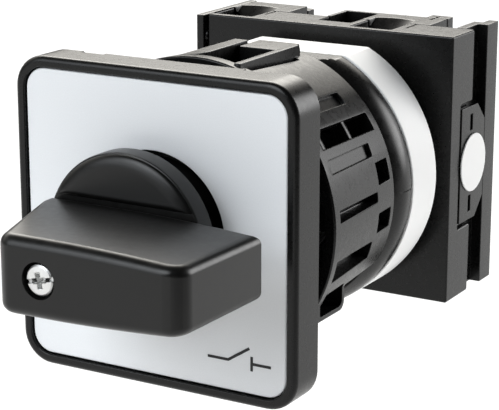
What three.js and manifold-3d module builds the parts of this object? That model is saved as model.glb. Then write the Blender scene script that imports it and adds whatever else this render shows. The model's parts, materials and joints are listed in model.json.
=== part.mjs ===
// A rotary isolator for single-hole panel mounting: front plate and thumb grip, mounting cup,
// indexing drum and a block of two contact units with three double-break poles.
// Millimetres. The switching axis is Y: the grip is at -Y, the contact block at +Y, and y = 0 is
// the back of the front frame, which seats on the panel. +Z is up and +X is right from the front.
import * as THREE from 'three';
import { mergeVertices } from 'three/addons/utils/BufferGeometryUtils.js';
import Module from 'manifold-3d';

const wasm = await Module();
wasm.setup();

// ---- driving dimensions -------------------------------------------------------------------------
const FINE = 28; // sides of the large round pieces
const FINEST = 40; // sides of the outer drums
const COARSE = 12; // sides of the small round pieces

const FRAME = { size: 48.2, depth: 6.8, corner: 5, edge: 0.4 };
const WINDOW = { size: 45, corner: 3.5, depth: 1.7 };
const FRAME_BACK = { size: 43.6, corner: 3, depth: 2.3 };
const FRAME_NOTCH = { from: 12, to: 16, depth: 1 };
const FRAME_HOLE_R = 12.4;
const PLATE = { size: 44.6, corner: 3.3, front: -6.4, thickness: 1, holeR: 12 };
const SLEEVE = {
  front: -4.2, collarR: 11.95, collarBore: 10.7, flangeR: 15.5, threadR: 11, bore: 9.4, end: 13,
};
const SLEEVE_FLANGE = { front: -2.1, back: -0.6 };
const BEARING = { r: 9.2, front: 4, back: 10 };
const GASKET = { size: 42.8, corner: 2.8, holeR: 15.9, front: -1.9, back: -0.15 };

const GRIP = {
  front: -34.7, back: -14.4, thumbX: -12.4, thumbFront: -17.1, cornerX: -6.2, noseX: 22.9,
  halfHeight: 5.65, noseHeight: 4.85, taperFromX: 5, edge: 1,
};
const KNOB_DISC = { r: 13.25, front: -14.9, back: -10.6, edge: 0.8 };
const KNOB_NECK = { r: 10.3, bore: 8.4, end: -1.9, bossR: 5.4 };
const SHAFT = { size: 5.9, front: -21.5, end: 62.3, clearance: 0.2, tapR: 1.75, tapDepth: 6.5 };
const HANDLE_SCREW = { headR: 2.25, headHoleR: 2.6, front: -34.3, seat: -32, shankR: 1.45, end: -16 };

const CUP = { front: 5.2, back: 28, frontR: 23.9, backR: 22.4, wall: 1.7, rimWidth: 2, web: 2.4 };
const CUP_HUB = { bore: 12, r: 13.6, front: 12 };
const CUP_RECESS = { floorR: 20.6, from: -152, to: -28, front: 15 };
const ADAPTER_SCREW = { x: 17, headR: 2.5, head: [23.3, 25.4], shankR: 1.3, tip: 35.4, holeR: 1.7 };
const LATCH = {
  left: -1.9, right: 6, front: 21, back: 27.4, top: 22.9, floor: 20.6, hookLow: 18.4, hook: 1.2,
};
const LATCH_BAY = { front: 7.8, step: 22.5, floor: 17 };
const RAIL = {
  front: 6.6, foot: 20.3, top: 23.3, leftWidth: 2.4, leftBack: 24.3, rightWidth: 1.15, rightBack: 24.9,
};
const JOINT_GAP = 0.3; // between stacked pieces
const NUT = { bore: 11.3, r: 15.8, front: 6, back: 10.5, notches: 6 };
const FLANGE = { front: 28.3, back: 34, frontR: 21.4, backR: 22.1, roll: 0.95, bore: 18.9 };
const DRUM = { front: 34.3, back: 43, r: 22.6, flat: 20.3, cavityR: 18.5, wall: 1.5 };
const NECK = { front: 43.3, back: 46.4, r: 18 };
const SHAFT_HOLE_R = 4.6;

const STAR = { valleyR: 7.4, crestR: 8.6, notches: 4, front: 37, back: 41 };
const SLIDER = { tip: 8.75, back: 13.2, halfWidth: 2.5, tipHalfWidth: 0.8 };
const INDEX_SPRING = { radius: 1.8, wireR: 0.28, turns: 3 };
const CONTACT_SPRING = { radius: 1.5, wireR: 0.22, turns: 3 };

const BLOCK = {
  left: -23, right: 23.3, halfHeight: 22.5, front: 46.7, middle: 55.3, back: 62.6, end: 65.2,
};
const CAVITY = { halfWidth: 16.8, halfHeight: 14.4, wall: 1.6 };
const CHANNEL = { from: 55.3, to: 60.7, depth: 1.8 };
const REAR_NOTCHES = [[-12, -4.4], [15, 19.9]];
const REAR_NOTCH_FLOOR = 16.5;
const SLITS = [-14.1, 12.9];
const FUNNEL = {
  halfWidth: 3.75, front: 48.2, centreY: 52.3, topR: 6.8, slope: 0.65, leftX: -18.9, rightX: 7.5,
};
const WELL = { halfWidth: 2.7, back: 54.8, floor: 13.2 };
const POCKET = { left: -3.7, right: 2.4, front: 51.1, back: 61.9, floor: 15 };
const COVER = { halfHeight: 21.7, tab: [11, 15] };

const CAM_POINTS = 32;
const CAM = { maxR: 8, travel: 2, thickness: 4 };
const UNIT_FRONT_CAM_Y = 49;
const UNIT_REAR_CAM_Y = 57.7;
const BRIDGE = { inner: 12.15, outer: 13.15, halfLength: 9.3, rivetZ: 8, rivetR: 1.3, rivetInner: 11.6 };
const FIXED = { inner: 8.65, outer: 9.45, low: 6.5, tipHigh: 11, riserWidth: 2 };
const TERMINAL_PLATE = { low: 13.4, high: 14.2 };
const CONTACT_WIDTH = 3.6;
const CLAMP_WASHER = { size: 4.7, low: 14.4, high: 15.3 };
const TERMINAL_SCREW = { headR: 2.4, low: 15.5, high: 17.6, shankR: 1.5, tip: 11.4, slotDepth: 1 };
const SCREW_CLEARANCE_R = 1.8;
const FRONT_SCREW_Y = 51.8;
const REAR_SCREW = { x: -0.65, y: 59 };
const TIE_BOLT = { shankR: 1.2, holeR: 1.5, headR: 2.3, headHoleR: 2.6, headDepth: 1.5, tip: 47.9 };
const TIE_BOLTS = [['right', 18.9, 8], ['left', -19.2, -8]];

const CLIP = { inner: 22.65, outer: 23.4, front: 50.9, back: 60.4, halfHeight: 9.8, chamfer: 3.1 };
const CLIP_RECESS = { x: 22.3, front: 50.6, halfHeight: 10.6 };
const CLIP_SLOT = { front: 54.4, back: 55.4, z: 7, halfLength: 1.4 };
const MARKER = { r: 4.95, y: 55.6, from: 23.45, to: 23.7 };
const SIDE_PLATE = {
  outer: -25, inner: -23.6, front: 46.2, back: 64.8, halfHeight: 22.35, pegR: 0.9, pegZ: 18.6,
};

// ---- materials ----------------------------------------------------------------------------------
function finish(color, roughness, metalness) {
  return () => new THREE.MeshStandardMaterial({ color, roughness, metalness });
}
const blackPlastic = finish(0x2b2b2b, 0.5, 0);
const greyPlastic = finish(0x4a4a4a, 0.6, 0);
const whitePlastic = finish(0xf2f2f0, 0.5, 0);
const silverFoil = finish(0xdfe2e4, 0.35, 0.3);
const rubber = finish(0x1c1c1c, 0.9, 0);
const steel = finish(0xb8bbbd, 0.3, 1);
const brass = finish(0xb8934a, 0.35, 1);
const springSteel = finish(0x8d9093, 0.3, 1);

// ---- solids -------------------------------------------------------------------------------------
function solid(geometry) {
  const bare = geometry.clone();
  for (const name of Object.keys(bare.attributes)) {
    if (name !== 'position') bare.deleteAttribute(name);
  }
  const merged = mergeVertices(bare, 1e-5);
  return new wasm.Manifold(new wasm.Mesh({
    numProp: 3,
    vertProperties: Float32Array.from(merged.attributes.position.array),
    triVerts: Uint32Array.from(merged.index.array),
  }));
}

function geometryOf(manifold) {
  const mesh = manifold.getMesh();
  const geometry = new THREE.BufferGeometry();
  geometry.setAttribute('position', new THREE.BufferAttribute(mesh.vertProperties, 3));
  geometry.setIndex(new THREE.BufferAttribute(mesh.triVerts, 1));
  geometry.computeVertexNormals();
  return geometry;
}

const join = (first, ...rest) => rest.reduce((sum, piece) => sum.add(piece), first);
const cut = (first, ...rest) => rest.reduce((left, tool) => left.subtract(tool), first);

function block([x0, x1], [y0, y1], [z0, z1]) {
  const geometry = new THREE.BoxGeometry(x1 - x0, y1 - y0, z1 - z0);
  return solid(geometry.translate((x0 + x1) / 2, (y0 + y1) / 2, (z0 + z1) / 2));
}

function centred(halfX, y, halfZ) {
  return block([-halfX, halfX], y, [-halfZ, halfZ]);
}

// A round bar along the switching axis, centred on (x, z).
function barY(r, y0, y1, { x = 0, z = 0, sides = COARSE } = {}) {
  return solid(new THREE.CylinderGeometry(r, r, y1 - y0, sides).translate(x, (y0 + y1) / 2, z));
}

function barZ(r, z0, z1, x, y, sides = COARSE) {
  const geometry = new THREE.CylinderGeometry(r, r, z1 - z0, sides).rotateX(Math.PI / 2);
  return solid(geometry.translate(x, y, (z0 + z1) / 2));
}

function barX(r, x0, x1, y, z, sides = COARSE) {
  const geometry = new THREE.CylinderGeometry(r, r, x1 - x0, sides).rotateZ(Math.PI / 2);
  return solid(geometry.translate((x0 + x1) / 2, y, z));
}

// A ring turned about the switching axis from a closed outline of [radius, y] points.
function turned(outline, sides = FINE) {
  const points = [...outline, outline[0]].map(([r, y]) => new THREE.Vector2(r, y));
  const ring = solid(new THREE.LatheGeometry(points, sides));
  return ring.volume() < 0 ? solid(new THREE.LatheGeometry(points.reverse(), sides)) : ring;
}

function polygon(points) {
  return new THREE.Shape(points.map(([x, z]) => new THREE.Vector2(x, z)));
}

function roundedSquare(size, corner) {
  const half = size / 2;
  const straight = half - corner;
  const shape = new THREE.Shape();
  shape.moveTo(-straight, -half);
  shape.lineTo(straight, -half);
  shape.absarc(straight, -straight, corner, -Math.PI / 2, 0);
  shape.absarc(straight, straight, corner, 0, Math.PI / 2);
  shape.absarc(-straight, straight, corner, Math.PI / 2, Math.PI);
  shape.absarc(-straight, -straight, corner, Math.PI, 1.5 * Math.PI);
  return shape;
}

// An outline in the X-Z plane, extruded along Y from y0 to y1, with optional bevelled ends.
function prism(shape, y0, y1, bevel = 0) {
  const geometry = new THREE.ExtrudeGeometry(shape, {
    depth: y1 - y0 - 2 * bevel,
    bevelEnabled: bevel > 0,
    bevelThickness: bevel,
    bevelSize: bevel,
    bevelOffset: -bevel,
    bevelSegments: 1,
    curveSegments: 4,
  });
  return solid(geometry.rotateX(Math.PI / 2).translate(0, y1 - bevel, 0));
}

// A wedge of a ring between two radii, two angles (degrees from +X towards +Z) and two depths.
function sector(r0, r1, a0, a1, y0, y1) {
  const arc = (r, from, to) => [0, 0.5, 1].map((t) => {
    const a = THREE.MathUtils.degToRad(from + (to - from) * t);
    return [r * Math.cos(a), r * Math.sin(a)];
  });
  return prism(polygon([...arc(r1, a0, a1), ...arc(r0, a1, a0)]), y0, y1);
}

// A coil spring along X, wound from round wire.
function coilSpring({ radius, wireR, turns }, x0, x1, y) {
  class Helix extends THREE.Curve {
    getPoint(t, target = new THREE.Vector3()) {
      const a = 2 * Math.PI * turns * t;
      return target.set(x0 + (x1 - x0) * t, y + radius * Math.cos(a), radius * Math.sin(a));
    }
  }
  const wire = new THREE.Shape().absarc(0, 0, wireR, 0, 2 * Math.PI);
  return solid(new THREE.ExtrudeGeometry(wire, {
    steps: turns * 8,
    extrudePath: new Helix(),
    curveSegments: 3,
  }));
}

const mirrorX = (piece) => piece.mirror([1, 0, 0]);
const mirrorZ = (piece) => piece.mirror([0, 0, 1]);

const isolator = new THREE.Group();

function add(name, piece, material) {
  const mesh = new THREE.Mesh(geometryOf(piece), material());
  mesh.name = name;
  isolator.add(mesh);
}

// ---- front: frame, plate, sleeve, gasket --------------------------------------------------------
function frontFrame() {
  const front = prism(roundedSquare(FRAME.size, FRAME.corner), -FRAME.depth, -2, FRAME.edge);
  const back = prism(roundedSquare(FRAME.size, FRAME.corner), -3, 0);
  const window = prism(roundedSquare(WINDOW.size, WINDOW.corner), -FRAME.depth - 1,
    -FRAME.depth + WINDOW.depth);
  const rear = prism(roundedSquare(FRAME_BACK.size, FRAME_BACK.corner), -FRAME_BACK.depth, 1);
  const hole = barY(FRAME_HOLE_R, -FRAME.depth - 1, 1, { sides: FINE });
  const notch = block([FRAME_NOTCH.from, FRAME_NOTCH.to], [-FRAME_NOTCH.depth, 1], [20, 30]);
  return cut(join(front, back), window, rear, hole, notch, mirrorX(notch));
}

function facePlate() {
  const sheet = prism(roundedSquare(PLATE.size, PLATE.corner), PLATE.front, PLATE.front + PLATE.thickness);
  return cut(sheet, barY(PLATE.holeR, PLATE.front - 1, 0, { sides: FINE }));
}

function mountingSleeve() {
  return turned([
    [SLEEVE.collarBore, SLEEVE.front], [SLEEVE.collarR, SLEEVE.front],
    [SLEEVE.collarR, SLEEVE_FLANGE.front], [SLEEVE.flangeR, SLEEVE_FLANGE.front],
    [SLEEVE.flangeR, SLEEVE_FLANGE.back], [SLEEVE.threadR, SLEEVE_FLANGE.back],
    [SLEEVE.threadR, SLEEVE.end], [SLEEVE.bore, SLEEVE.end], [SLEEVE.bore, -1], [SLEEVE.collarBore, -1],
  ]);
}

function panelGasket() {
  const sheet = prism(roundedSquare(GASKET.size, GASKET.corner), GASKET.front, GASKET.back);
  return cut(sheet, barY(GASKET.holeR, GASKET.front - 1, 1, { sides: FINE }));
}

function panelNut() {
  let nut = turned([[NUT.bore, NUT.front], [NUT.r, NUT.front], [NUT.r, NUT.back], [NUT.bore, NUT.back]]);
  for (let i = 0; i < NUT.notches; i += 1) {
    const a = (360 * i) / NUT.notches;
    nut = cut(nut, sector(NUT.r - 1.6, NUT.r + 1, a - 6, a + 6, NUT.front - 1, NUT.back + 1));
  }
  return nut;
}

function shaftBearing() {
  const { r, front, back } = BEARING;
  return turned([[SHAFT_HOLE_R, front], [r, front], [r, back], [SHAFT_HOLE_R, back]], 24);
}

// ---- handle -------------------------------------------------------------------------------------
// The grip is a bar whose plan narrows towards the thumb on the left and whose height falls
// towards the nose on the right.
function gripBar() {
  const plan = polygon([[GRIP.cornerX, -GRIP.front], [GRIP.noseX - 0.6, -GRIP.front],
    [GRIP.noseX, -GRIP.back], [GRIP.thumbX, -GRIP.back], [GRIP.thumbX, -GRIP.thumbFront]]);
  const height = 2 * GRIP.halfHeight;
  const geometry = new THREE.ExtrudeGeometry(plan, {
    depth: height - 2 * GRIP.edge,
    bevelThickness: GRIP.edge,
    bevelSize: GRIP.edge,
    bevelOffset: -GRIP.edge,
    bevelSegments: 1,
  });
  geometry.translate(0, 0, GRIP.edge - GRIP.halfHeight);
  const position = geometry.attributes.position;
  const fall = 1 - GRIP.noseHeight / GRIP.halfHeight;
  for (let i = 0; i < position.count; i += 1) {
    const run = (position.getX(i) - GRIP.taperFromX) / (GRIP.noseX - GRIP.taperFromX);
    const along = THREE.MathUtils.clamp(run, 0, 1);
    position.setY(i, -position.getY(i));
    position.setZ(i, -position.getZ(i) * (1 - fall * along));
  }
  return solid(geometry);
}

function handleKnob() {
  const disc = turned([[2, KNOB_DISC.front], [KNOB_DISC.r - KNOB_DISC.edge, KNOB_DISC.front],
    [KNOB_DISC.r, KNOB_DISC.front + KNOB_DISC.edge], [KNOB_DISC.r, KNOB_DISC.back], [2, KNOB_DISC.back]]);
  const neck = turned([[KNOB_NECK.bore, -11], [KNOB_NECK.r, -11], [KNOB_NECK.r, KNOB_NECK.end],
    [KNOB_NECK.bore, KNOB_NECK.end]]);
  const boss = barY(KNOB_NECK.bossR, -16, KNOB_NECK.end, { sides: 20 });
  const socket = SHAFT.size / 2 + SHAFT.clearance;
  return cut(
    join(gripBar(), disc, neck, boss),
    centred(socket, [SHAFT.front - 0.4, 0], socket),
    barY(HANDLE_SCREW.headHoleR, GRIP.front - 1, HANDLE_SCREW.seat, { sides: 24 }),
    barY(SHAFT.tapR, HANDLE_SCREW.seat - 1, SHAFT.front),
  );
}

function handleScrew() {
  const { headR, front, seat, shankR, end } = HANDLE_SCREW;
  const head = turned([[0, front], [headR - 0.3, front], [headR, front + 0.3], [headR, seat - 0.3],
    [shankR, seat - 0.3], [shankR, end], [0, end]], 24);
  const slot = centred(headR + 1, [front - 1, front + 0.5], 0.3);
  const cross = centred(0.4, [front - 1, front + 0.9], 1.3);
  const arm = centred(1.3, [front - 1, front + 0.9], 0.4);
  return cut(head, slot, cross, arm);
}

function driveShaft() {
  const half = SHAFT.size / 2;
  const tap = barY(SHAFT.tapR, SHAFT.front - 1, SHAFT.front + SHAFT.tapDepth);
  return cut(centred(half, [SHAFT.front, SHAFT.end], half), tap);
}

// ---- mounting cup -------------------------------------------------------------------------------
// Openings in the cup wall, given on the right side and mirrored to the left: first and last angle
// from +X towards +Z, front and back depth.
const CUP_SLOTS = [[8.6, 17.3, 22.1, 26.5], [-10.6, -2.6, 21.8, 26.5], [69.3, 76.2, 7.6, 23.1]];
// Shallow grooves in the wall, given in the same way.
const CUP_GROOVES = [[43, 48.5, 7.2, 22], [20.2, 25.5, 7.2, 22]];
const GROOVE_DEPTH = 0.7;
const CUP_WINDOW = { from: 29.5, to: 36.9, front: 7.2, back: 26, ribs: [9.2, 17.6] };
// Scoops cut in from a deep lower edge, on a thicker wall: lower and upper angle, front and back.
const CUP_SCOOPS = [[2.2, 7.6, 7.2, 21.3], [-20.5, -11, 7.2, 20.6]];
const SCOOP_WALL = { inner: 20.35, floor: 21, outer: 22.3, margin: 3 };
// A square foot at the lower corner, with a pocket that opens to the side.
const CUP_FOOT = { x: [17, 20.5], y: [5.9, 15], z: [-14.6, -10.6] };
const FOOT_POCKET = { x: [15.6, 25], y: [7.2, 14.2], z: [-13.9, -10.3] };

function scoop([low, high, y0, y1]) {
  const at = (r, degrees) => {
    const a = THREE.MathUtils.degToRad(degrees);
    return [r * Math.cos(a), r * Math.sin(a)];
  };
  const floor = SCOOP_WALL.floor;
  const outline = [at(25, high + 0.8), at(22.3, high), at(floor, low + 0.6), at(25, low - 0.4)];
  return prism(polygon(outline), y0, y1);
}

function scoopWall([low, high, y0, y1]) {
  const { inner, outer, margin } = SCOOP_WALL;
  return sector(inner, outer, low - margin, high + margin, y0 - 1, y1 + 1);
}

function cupRightCuts() {
  const slots = CUP_SLOTS.map(([a0, a1, y0, y1]) => sector(19.5, 25.5, a0, a1, y0, y1));
  const { frontR, backR } = CUP;
  const skin = turned([[frontR - GROOVE_DEPTH, CUP.front], [frontR + 1, CUP.front], [backR + 1, CUP.back],
    [backR - GROOVE_DEPTH, CUP.back]], FINEST);
  const grooves = CUP_GROOVES.map(([a0, a1, y0, y1]) => sector(19.5, 25.5, a0, a1, y0, y1).intersect(skin));
  const { from, to, front, back } = CUP_WINDOW;
  const pocket = block(FOOT_POCKET.x, FOOT_POCKET.y, FOOT_POCKET.z);
  const window = sector(19.5, 25.5, from, to, front, back);
  return join(window, pocket, ...slots, ...grooves, ...CUP_SCOOPS.map(scoop));
}

function mountingCup() {
  const { front, back, frontR, backR, wall, web } = CUP;
  const inside = backR - wall;
  const shell = turned([[frontR - wall, front], [frontR, front], [backR, back], [CUP_HUB.bore, back],
    [CUP_HUB.bore, CUP_HUB.front], [CUP_HUB.r, CUP_HUB.front], [CUP_HUB.r, back - web],
    [inside, back - web]], FINEST);
  const cuts = cupRightCuts();
  const recess = CUP_RECESS;
  const bottomRecess = sector(recess.floorR, 26, recess.from, recess.to, recess.front, back + 1);
  const bayX = [LATCH.left, LATCH.right];
  const latchBay = block(bayX, [LATCH_BAY.front, LATCH_BAY.step], [LATCH_BAY.floor, 30]);
  const latchSeat = block(bayX, [LATCH_BAY.step - 1, back + 1], [LATCH.floor, 30]);
  const foot = join(block(CUP_FOOT.x, CUP_FOOT.y, CUP_FOOT.z), ...CUP_SCOOPS.map(scoopWall));
  let cup = cut(join(shell, foot, mirrorX(foot)), cuts, mirrorX(cuts), bottomRecess);
  const window = CUP_WINDOW;
  for (const y of window.ribs) {
    const rib = sector(20.2, 22.6, window.from - 1, window.to + 1, y, y + 1);
    cup = join(cup, rib, mirrorX(rib));
  }
  const railZ = [RAIL.foot, RAIL.top];
  const leftRail = block([LATCH.left - RAIL.leftWidth, LATCH.left], [RAIL.front, RAIL.leftBack], railZ);
  const rightRailX = [LATCH.right, LATCH.right + RAIL.rightWidth];
  const rightRail = block(rightRailX, [RAIL.front, RAIL.rightBack], railZ);
  cup = cut(join(cup, leftRail, rightRail), latchBay, latchSeat);
  const screwHoles = [-1, 1].map((side) => barY(ADAPTER_SCREW.holeR, back - 4, back + 1,
    { x: side * ADAPTER_SCREW.x }));
  return cut(cup, ...screwHoles);
}

// A tongue on the cup's back edge, with a hook in front of the cup's back wall.
function adapterLatch() {
  const x = [LATCH.left + JOINT_GAP, LATCH.right - JOINT_GAP];
  const tongue = block(x, [LATCH.front, LATCH.back], [LATCH.floor + JOINT_GAP, LATCH.top]);
  const hook = block(x, [LATCH.front, LATCH.front + LATCH.hook], [LATCH.hookLow, LATCH.top - 1]);
  return join(tongue, hook);
}

function adapterScrew(x) {
  const { headR, head: [front, back], shankR, tip } = ADAPTER_SCREW;
  const head = barY(headR, front, back, { x });
  const shank = barY(shankR, back - 0.4, tip, { x });
  const slot = block([x - 3, x + 3], [front - 1, front + 0.6], [-0.35, 0.35]);
  return cut(join(head, shank), slot);
}

// ---- flange ring, indexing drum and neck --------------------------------------------------------
function withFlats(piece) {
  const above = block([-30, 30], [20, 60], [DRUM.flat, 30]);
  return cut(piece, above, mirrorZ(above));
}

function flangeRing() {
  const outline = [[FLANGE.bore, FLANGE.front]];
  const steps = 6;
  for (let i = 0; i <= steps; i += 1) {
    const t = i / steps;
    const y = FLANGE.front + (FLANGE.back - FLANGE.front) * t;
    const taper = FLANGE.frontR + (FLANGE.backR - FLANGE.frontR) * t;
    outline.push([taper + FLANGE.roll * Math.sin(Math.PI * t), y]);
  }
  outline.push([FLANGE.bore, FLANGE.back]);
  return withFlats(turned(outline, FINEST));
}

function indexDrum() {
  const { front, back, r, cavityR, wall } = DRUM;
  const shell = turned([[SHAFT_HOLE_R, front], [r, front], [r, back], [cavityR, back],
    [cavityR, front + wall], [SHAFT_HOLE_R, front + wall]], FINEST);
  const screwHoles = [-1, 1].map((side) => barY(ADAPTER_SCREW.holeR, front - 1, front + wall + 1,
    { x: side * ADAPTER_SCREW.x }));
  return cut(withFlats(shell), ...screwHoles);
}

function indexCover() {
  return turned([[SHAFT_HOLE_R, NECK.front], [NECK.r, NECK.front], [NECK.r, NECK.back],
    [SHAFT_HOLE_R, NECK.back]]);
}

function squareBore(y0, y1) {
  const half = SHAFT.size / 2 + 0.1;
  return centred(half, [y0 - 1, y1 + 1], half);
}

function starWheel() {
  const middle = (STAR.crestR + STAR.valleyR) / 2;
  const swing = (STAR.crestR - STAR.valleyR) / 2;
  const points = Array.from({ length: CAM_POINTS }, (_, i) => {
    const a = (2 * Math.PI * i) / CAM_POINTS;
    const r = middle - swing * Math.cos(STAR.notches * a);
    return [r * Math.cos(a), r * Math.sin(a)];
  });
  return cut(prism(polygon(points), STAR.front, STAR.back), squareBore(STAR.front, STAR.back));
}

function indexSlider() {
  const { tip, back, halfWidth, tipHalfWidth } = SLIDER;
  return prism(polygon([[tip, -tipHalfWidth], [tip + 1.8, -halfWidth], [back, -halfWidth],
    [back, halfWidth], [tip + 1.8, halfWidth], [tip, tipHalfWidth]]), STAR.front + 0.2, STAR.back - 0.2);
}

// ---- contact units ------------------------------------------------------------------------------
// The cam is an oval whose radius falls at a constant rate from each crest, so a plunger moves in
// proportion to the angle turned.
function cam(y0) {
  const points = Array.from({ length: CAM_POINTS }, (_, i) => {
    const a = (2 * Math.PI * i) / CAM_POINTS;
    const fromCrest = Math.abs(THREE.MathUtils.euclideanModulo(a + Math.PI / 2, Math.PI) - Math.PI / 2);
    const r = CAM.maxR - CAM.travel * (fromCrest / (Math.PI / 2));
    return [r * Math.cos(a), r * Math.sin(a)];
  });
  return cut(prism(polygon(points), y0, y0 + CAM.thickness), squareBore(y0, y0 + CAM.thickness));
}

function contactSpan(camY) {
  return [camY + 0.2, camY + 0.2 + CONTACT_WIDTH];
}

function plunger(camY) {
  const tip = CAM.maxR + 0.2;
  return prism(polygon([[tip, -0.5], [tip + 1, -1.2], [tip + 1.4, -3], [BRIDGE.inner - 0.15, -3],
    [BRIDGE.inner - 0.15, 3], [tip + 1.4, 3], [tip + 1, 1.2], [tip, 0.5]]), ...contactSpan(camY));
}

function contactBridge(camY) {
  const { inner, outer, halfLength, rivetZ, rivetR, rivetInner } = BRIDGE;
  const [y0, y1] = contactSpan(camY);
  const bar = block([inner, outer], [y0, y1], [-halfLength, halfLength]);
  const rivets = [-1, 1].map((side) => barX(rivetR, rivetInner, outer - 0.2, (y0 + y1) / 2, side * rivetZ));
  return join(bar, ...rivets);
}

function contactSpring(camY) {
  const [y0, y1] = contactSpan(camY);
  return coilSpring(CONTACT_SPRING, BRIDGE.outer + 0.35, CAVITY.halfWidth - 0.4, (y0 + y1) / 2);
}

// An upright contact strip with a plate that carries the terminal screw at (screwX, screwY).
function fixedContact(side, camY, plateX, screwX, screwY) {
  const y = contactSpan(camY);
  const stripX = side > 0 ? [FIXED.inner, FIXED.outer] : [-FIXED.outer, -FIXED.inner];
  const tip = block(stripX, y, [FIXED.low, FIXED.tipHigh]);
  const riser = block(stripX, [y[0], y[0] + FIXED.riserWidth], [FIXED.low, TERMINAL_PLATE.high]);
  const { low, high } = TERMINAL_PLATE;
  const plate = block(plateX, [y[0], Math.max(y[1], screwY + 2.2)], [low, high]);
  const hole = barZ(SCREW_CLEARANCE_R, TERMINAL_SCREW.tip - 0.3, high + 1, screwX, screwY);
  return cut(join(tip, riser, plate), hole);
}

function clampWasher(x, y) {
  const half = CLAMP_WASHER.size / 2;
  const plate = block([x - half, x + half], [y - half, y + half], [CLAMP_WASHER.low, CLAMP_WASHER.high]);
  return cut(plate, barZ(SCREW_CLEARANCE_R, 10, 20, x, y));
}

function terminalScrew(x, y) {
  const { headR, low, high, shankR, tip, slotDepth } = TERMINAL_SCREW;
  const head = barZ(headR, low, high, x, y, 16);
  const shank = barZ(shankR, tip, low + 0.3, x, y, 10);
  const slot = block([x - 3, x + 3], [y - 0.4, y + 0.4], [high - slotDepth, high + 1]);
  const cross = block([x - 0.4, x + 0.4], [y - 1.5, y + 1.5], [high - slotDepth, high + 1]);
  return cut(join(head, shank), slot, cross);
}

// A wire funnel: a shallow cone between side walls, open at the top face.
function funnel(x, yFrom, yTo) {
  const { halfWidth, front, centreY, topR, slope } = FUNNEL;
  const lift = 1;
  const coneR = topR + lift / slope;
  const depth = coneR * slope;
  const cone = new THREE.ConeGeometry(coneR, depth, FINEST).rotateX(-Math.PI / 2);
  const dish = solid(cone.translate(x, centreY, BLOCK.halfHeight + lift - depth / 2));
  const span = [Math.max(yFrom, front), yTo];
  return dish.intersect(block([x - halfWidth, x + halfWidth], span, [WELL.floor, BLOCK.halfHeight + 2]));
}

// The square well under a funnel, down to its terminal screw.
function well(x) {
  const { halfWidth, back, floor } = WELL;
  return block([x - halfWidth, x + halfWidth], [FUNNEL.front, back], [floor, BLOCK.halfHeight + 2]);
}

function mirroredPair(piece) {
  return [piece, mirrorZ(piece)];
}

function frontHousing() {
  const { left, right, halfHeight, front, middle } = BLOCK;
  const shell = block([left, right], [front, middle], [-halfHeight, halfHeight]);
  const cavity = centred(CAVITY.halfWidth, [front + CAVITY.wall, middle + 1], CAVITY.halfHeight);
  const openings = [FUNNEL.leftX, FUNNEL.rightX].flatMap((x) => mirroredPair(
    join(funnel(x, front, middle + 1), well(x))));
  const pocket = mirroredPair(block([POCKET.left, POCKET.right], [POCKET.front, middle + 1],
    [POCKET.floor, halfHeight + 2]));
  const recess = block([CLIP_RECESS.x, right + 1], [CLIP_RECESS.front, middle + 1],
    [-CLIP_RECESS.halfHeight, CLIP_RECESS.halfHeight]);
  const bolts = TIE_BOLTS.map(([, x, z]) => barY(TIE_BOLT.holeR, TIE_BOLT.tip - 0.3, middle + 1, { x, z }));
  const slits = SLITS.flatMap((x) => mirroredPair(block([x - 0.2, x + 0.2], [51, middle - 0.3],
    [halfHeight - 1.2, halfHeight + 1])));
  const shaftHole = barY(SHAFT_HOLE_R, front - 1, front + 3, { sides: 20 });
  const screwWells = mirroredPair(barZ(SCREW_CLEARANCE_R, 11, 14, FUNNEL.leftX, FRONT_SCREW_Y));
  return cut(shell, cavity, ...openings, ...pocket, recess, ...bolts, ...slits, shaftHole, ...screwWells);
}

function rearNotches(y0, y1) {
  const z = [REAR_NOTCH_FLOOR, BLOCK.halfHeight + 2];
  return REAR_NOTCHES.flatMap((x) => mirroredPair(block(x, [y0, y1], z)));
}

function rearHousing() {
  const { left, right, halfHeight, back, end } = BLOCK;
  const front = BLOCK.middle + JOINT_GAP;
  const shell = join(
    block([left, right], [front, back], [-halfHeight, halfHeight]),
    block([right - CHANNEL.depth, right], [back - 1, end], [-halfHeight, halfHeight]),
  );
  const cavity = centred(CAVITY.halfWidth, [front - 1, back + 1], CAVITY.halfHeight);
  const plateSeat = centred(CAVITY.halfWidth + 1.2, [front - 1, front + 1.1], CAVITY.halfHeight);
  const channel = block([right - CHANNEL.depth, right + 1], [CHANNEL.from - 1, CHANNEL.to], [-30, 30]);
  const funnels = [FUNNEL.leftX, FUNNEL.rightX].flatMap((x) => mirroredPair(
    funnel(x, front - 1, back)));
  const pocket = mirroredPair(block([POCKET.left, POCKET.right], [front - 1, POCKET.back],
    [WELL.floor, halfHeight + 2]));
  const bolts = TIE_BOLTS.map(([, x, z]) => barY(TIE_BOLT.holeR, front - 1, back + 1, { x, z }));
  const notches = rearNotches(front - 1, end + 1);
  return cut(shell, cavity, plateSeat, channel, ...funnels, ...pocket, ...bolts, ...notches);
}

function separatorPlate() {
  const y = [BLOCK.middle + JOINT_GAP, BLOCK.middle + JOINT_GAP + 0.9];
  const sheet = centred(CAVITY.halfWidth + 0.9, y, CAVITY.halfHeight - 0.3);
  return cut(sheet, barY(SHAFT_HOLE_R, y[0] - 1, y[1] + 1, { sides: 20 }));
}

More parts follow.
